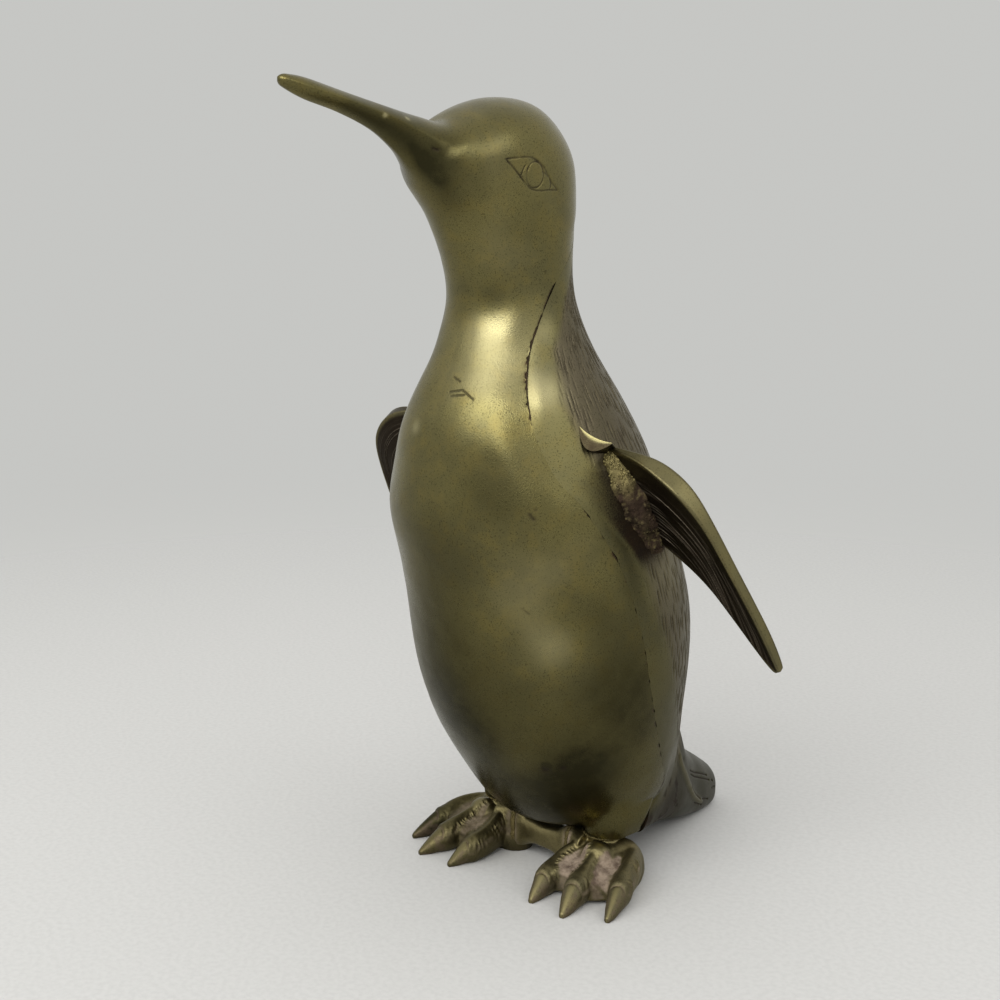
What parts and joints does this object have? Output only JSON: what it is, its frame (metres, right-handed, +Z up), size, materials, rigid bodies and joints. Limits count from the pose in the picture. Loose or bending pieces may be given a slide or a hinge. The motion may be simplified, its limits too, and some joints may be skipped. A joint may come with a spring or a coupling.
{
  "type": "brass penguin figurine",
  "caption": "Standing penguin ornament with a long raised beak, a smooth front, a feathered back, spread wings, clawed webbed feet and a tail that props it up.",
  "frame": {"origin": "on the ground, at the middle of the figurine's footprint box", "axes": "+Z up; the penguin faces -Y and its left side is +X"},
  "size_m": [0.179, 0.2108, 0.2804],
  "materials": {
    "front_brass": "filed smooth, aged to a patchy olive brown",
    "back_brass": "as cast with cut feather lines, darkened in the lines",
    "wing_brass": "feather lines on both faces, filed bright edge",
    "foot_brass": "as cast, granular and pinkish in the webs, polished claws",
    "filler": "rough pitted braze, reddish brown"
  },
  "bodies": {
    "root": {"front_casting": "front_brass", "back_casting": "back_brass", "seam_braze": "filler", "left_wing": "wing_brass", "right_wing": "wing_brass", "left_wing_braze": "filler", "right_wing_braze": "filler", "left_foot": "foot_brass", "right_foot": "foot_brass", "left_leg_braze": "filler", "right_leg_braze": "filler", "foot_bridge": "foot_brass", "left_bridge_braze": "filler", "right_bridge_braze": "filler"}
  },
  "joints": []
}
